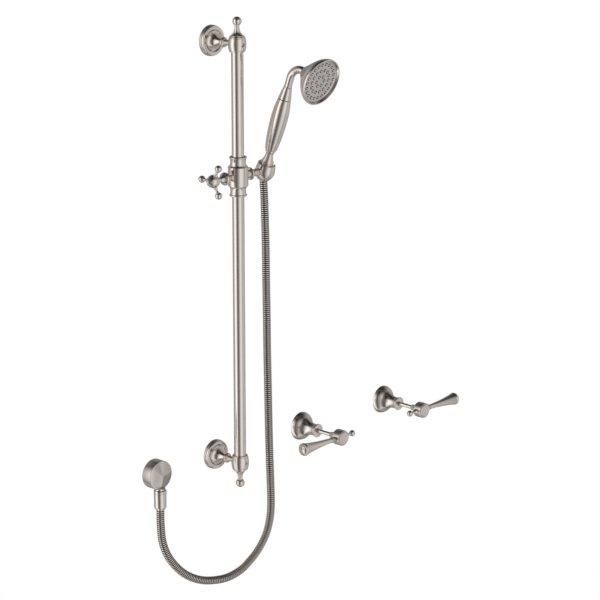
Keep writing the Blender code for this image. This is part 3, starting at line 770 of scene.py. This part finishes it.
def build_handset(model):
    def turned(name, outline, material="nickel", steps=STEPS, **more):
        return model.turned(name, outline, TILT_POINT, HANDSET_UP, "handset", material, steps=steps, **more)

    turned("hose_cone_nut",
           ((6.8, 36, 0.3), (7.1, 34.6, "c"), (7.2, 32.6, "c"), (7.9, 28.4, "c"), (9.2, 24, "c"), (10.9, 20.2, 0.4),
            (11.7, 19.2, 0.3), (11.7, 18.1, 0.3), (11.2, 17.6, 0.2), (11.9, 17.0, 0.3), (11.9, 6), (9.6, -8),
            (5.3, -8), (5.3, 36)))
    turned("handset_inlet",
           ((5.9, 50), (5.9, 43), (8.2, 43, 0.3), (8.9, 42.2, 0.4), (8.9, 39.4, 0.4), (8.0, 38.4, 0.3),
            (7.4, 36.4, 0.3), (4.9, 36.4), (4.9, 24.8), (3, 24.8), (3, 50)))
    turned("grip",
           ((11.2, 146, 0.2), (11.8, 145.4, 0.4), (12.0, 143, "c"), (13.5, 134, "c"), (14.8, 123, "c"),
            (15.4, 108, "c"), (15.2, 92, "c"), (14.4, 76, "c"), (12.9, 58, "c"), (11.4, 47.6, "c"),
            (10.6, 44.2, 0.4), (9.8, 43.4, 0.3), (6.3, 43.4), (6.3, 146)), steps=96)
    turned("grip_ferrule",
           ((7.1, 170.4, 0.3), (7.7, 168.4, 0.5), (8.6, 164, "c"), (10.3, 155, "c"), (11.4, 148.6, "c"),
            (11.6, 147, 0.4), (11.1, 146.4, 0.2), (4.8, 146.4), (4.8, 170.4)))
    line = neck_line()
    neck = add_mesh("v_neck_tube", sweep(line, [NECK_R] * len(line), 64))
    model.show(neck, "handset", "nickel_polish", replaces=("neck_tube",))


def build_head(model):
    def turned(name, outline, material="nickel", steps=96, **more):
        return model.turned(name, outline, HEAD_CENTRE, FACE_OUT, "handset", material, steps=steps, **more)

    turned("head_shell",
           ((42.4, 0.6, 0.2), (43.2, 0.3, 0.4), (43.6, -0.8, 0.6), (43.5, -3.4, "c"), (41.6, -8.8, "c"),
            (37.9, -14.4, "c"), (32.7, -20.5, "c"), (27.5, -26, "c"), (22.5, -31, "c"), (17.8, -36, "c"),
            (13.8, -40.6, "c"), (10.6, -44.0, 0.5), (9.2, -44.9, 0.4), (8, -HEAD_DEPTH, 0.3), (5.2, -HEAD_DEPTH),
            (5.2, -42), (12, -37.5), (22, -28), (29.5, -20), (35.6, -12), (36.4, -9), (39.4, -9),
            (39.4, -3.4, 0.2), (41.6, 0.4, 0.4)))
    holes, tips = bmesh.new(), bmesh.new()
    for radius, count in NOZZLE_RINGS:
        for k in range(count):
            angle = 2 * math.pi * k / count
            spot = Vector((radius * math.cos(angle), radius * math.sin(angle), 0))
            bmesh.ops.create_cone(holes, cap_ends=True, segments=24, radius1=mm(3.1), radius2=mm(3.1),
                                  depth=mm(6), matrix=Matrix.Translation(mm(spot + Vector((0, 0, -5.4)))))
            bmesh.ops.create_cone(tips, cap_ends=True, segments=20, radius1=mm(2.0), radius2=mm(1.5),
                                  depth=mm(5.0), matrix=Matrix.Translation(mm(spot + Vector((0, 0, -5.9)))))
    plate = turned("face_plate",
           ((0, -4.2), (36.4, -4.2, 0.3), (37.3, -3.6, 0.3), (39.1, -3.6, 0.2), (39.1, -7), (0, -7)), "plate",
           cuts=(("DIFFERENCE", place(add_mesh("tool", holes), HEAD_CENTRE, FACE_OUT)),))
    second_material(plate, model, "painted_shade", lambda face: (
        abs(face.normal.z) < 0.3 and face.center.to_2d().length < mm(36)))  # the holes' walls, painted dark as the shade inside the holes
    mat = turned("nozzle_mat", ((0, -7.3), (35.8, -7.3), (35.8, -9.2), (0, -9.2)), "silicone", slot="silicone",
                 cuts=(("UNION", place(add_mesh("tool", tips), HEAD_CENTRE, FACE_OUT)),))
    second_material(mat, model, "rubber", lambda face: face.center.z < mm(-7.2))  # all but the tips: black, painted shade in the gaps round the tips


def build_elbow(model):
    at = Vector((ELBOW_X, 0, ELBOW_Z))
    outlet = Vector((ELBOW_X, OUTLET_Y, 0))
    body = place(add_mesh("v_elbow_body", lathe_body(rounded(
        ((0, 27), (26.4, 21.0, 0.3), (27.2, 20.2, 0.3), (27.2, 0, 0.3), (10.8, 0), (10.8, 15), (0, 15))), 128)),
        at, OUT)
    collar = rounded(((0, -800.8), (9.5, -800.8, 0.3), (9.8, -801.4, 0.3), (9.8, -804, 0.2), (8.0, -804.1, 0.2),
                      (8.0, -819.1), (0, -819.1)))
    tool = place(add_mesh("tool", lathe_body(collar, 64)), outlet, UP)
    cut(body, tool, "UNION")
    cut(body, bar(4, outlet + UP * (ELBOW_Z + 4), outlet - UP * 822))
    model.show(body, "wall_set", "nickel", replaces=("elbow_body",))
    # The shallow cone on the front takes the nickel with painted highlight and shade wedges.
    second_material(body, model, "nickel_painted_wedges", lambda face: (
        face.center.z > mm(20.5) and face.normal.z > 0.8))  # the shallow cone
    return model.turned(
        "hose_elbow_nut",
        ((10.8, -804.3, 0.3), (11.8, -805.3, 0.4), (11.8, -808.6, 0.3), (11.2, -809.2, 0.2), (11.2, -809.8, 0.2),
         (11.7, -810.4, 0.3), (11.3, -836.8, 0.5), (9.4, -840.9, 0.5), (8.2, -841.6, 0.3), (5, -841.6), (5, -822),
         (8.4, -822), (8.4, -804.3)),
        outlet, UP, "wall_set")


def build_tap(model, side):
    wall = Vector((TAP_X[side], 0, TAP_Z))
    hub_centre = wall + OUT * LEVER_OUT
    lever_out = -RIGHT if side == "left" else RIGHT

    def turned(name, outline, material="nickel", body=f"{side}_tap", at=wall, along=OUT, **more):
        return model.turned(f"{side}_{name}", outline, at, along, body, material, **more)

    turned("tap_flange",
           ((5, 46.2, 0.3), (8.4, 46.2, 0.2), (8.8, 47, 0.3), (12.4, 47, 0.5), (13.2, 46.2, 0.5), (13.2, 44.8, 0.4),
            (12.3, 43.4, 0.4), (11.6, 41, "c"), (11.3, 36, "c"), (11.9, 29, "c"), (14.1, 22, "c"),
            (17.9, 16.2, "c"), (22.2, 12, "c"), (25.2, 8.4, "c"), (26.9, 4.6, "c"), (27.5, 2.6, 0.4),
            (27.7, 1.6, 0.3), (27.7, 0, 0.2), (25.6, 0), (24.2, 4), (19, 9.4), (13.5, 13), (13.5, 16.6),
            (8.3, 21), (8.3, 44), (5, 44)),
           body="wall_set", steps=96)
    turned("spindle",
           ((0, 99.7), (3.8, 99.7), (3.8, -6.4), (6.2, -6.4), (6.2, -12), (0, -12)), "nickel_bar")
    turned("hub",
           ((0, 111.7), (12.9, 111.7), (12.9, 113.4, 0.2), (14, 113.6, 0.4), (15.0, 112.6, 0.4), (15.2, 111.2, 0.3),
            (15.2, 97, 0.5), (13.8, 95, "c"), (10.6, 92.4, "c"), (8.0, 89.4, "c"), (6.4, 85.6, "c"), (5.6, 81, "c"),
            (5.4, 80, 0.2), (4.2, 80), (4.2, 100), (0, 100)),
           cuts=(("DIFFERENCE", bar(3.3, hub_centre + lever_out * 9, hub_centre + lever_out * 18, 32)),
                 ("DIFFERENCE", bar(2.5, hub_centre - lever_out * 9, hub_centre - lever_out * 18, 32))))
    turned("hub_cap", ((0, 114.9), (11.6, 114.8, 0.3), (12.5, 114.1, 0.3), (12.6, 113.6, 0.2), (12.6, 112), (0, 112)),
           "nickel_disc")
    turned("lever",
           ((0, 107.4), (3, 107.2, "c"), (6.6, 106.2, "c"), (9.0, 104.9, 0.3), (9.8, 104.0, 0.3), (11.3, 103.4, 0.4),
            (12.2, 102, 0.5), (12.2, 99.6, 0.5), (11.4, 96.8, "c"), (9.6, 86, "c"), (7.4, 68, "c"), (5.8, 50, "c"),
            (4.9, 34, "c"), (4.6, 25.4, 0.3), (5.7, 24.6, 0.4), (5.7, 22.8, 0.4), (4.8, 22.2, 0.2),
            (4.8, 21.2, 0.2), (5.7, 20.6, 0.4), (5.7, 19.4, 0.4), (4.8, 18.6, 0.2), (4.8, 15.8, 0.2),
            (3, 15.8), (3, 9.4), (0, 9.4)), at=hub_centre, along=lever_out)
    turned("finial",
           (*ball(34, 6.1, 90, -62, 12), (2.7, 27.4, 0.3), (2.6, 25.4, "c"), (3.0, 22.4, "c"), (4.2, 19, "c"),
            (5.3, 17, 0.3), (5.3, 15.8, 0.2), (2.2, 15.8), (2.2, 9.6), (0, 9.6)),
           at=hub_centre, along=-lever_out, steps=48)


def dress_frame(model, frame):
    """Every frame node gets the material named by its slot. The nodes that no piece replaces stay shown."""
    slots = {row["node"]: row["material_slot"] for row in frame["record"]["subparts"]}
    for name, node in frame["nodes"].items():
        node.data.materials.clear()
        node.data.materials.append(model.materials[slots[name]])


def main():
    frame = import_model()
    make_camera()
    materials = make_materials()
    model = Model(materials)
    stretches = build_hose(model)
    dress_frame(model, frame)
    build_elbow(model)
    build_rail(model)
    build_slider(model)
    build_clamp(model)
    build_cradle(model)
    build_handset(model)
    build_head(model)
    for side in TAP_X:
        build_tap(model, side)
    make_studio()
    make_floor()


main()
